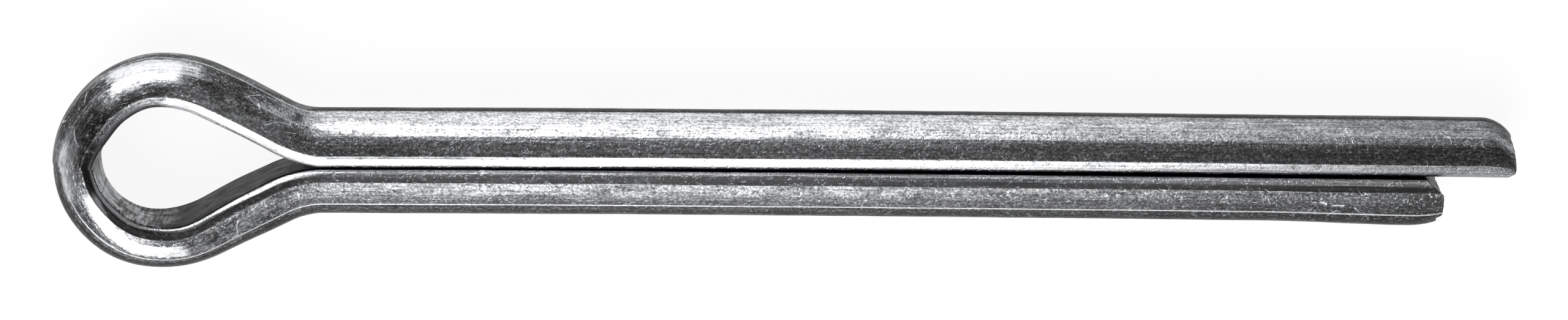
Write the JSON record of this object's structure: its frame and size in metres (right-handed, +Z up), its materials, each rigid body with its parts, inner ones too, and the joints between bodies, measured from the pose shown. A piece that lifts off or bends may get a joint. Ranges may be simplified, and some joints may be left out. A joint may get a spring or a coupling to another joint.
{
  "type": "cotter pin",
  "caption": "Split cotter pin of half-round steel wire, bent double into a round shank with an open eye, one prong longer than the other.",
  "frame": {"origin": "on the shank's axis at the neck, where the two flats of the wire come together", "axes": "+X along the shank towards the prongs' ends, +Y in the plane of the eye towards the long prong, +Z up out of the plane that the pin lies in"},
  "size_m": [0.0803, 0.012, 0.0056],
  "materials": {
    "plated_steel": "bright zinc plating over drawn wire, with draw lines, pits and handling scratches"
  },
  "bodies": {
    "root": {"cotter_pin": "plated_steel"}
  },
  "joints": []
}
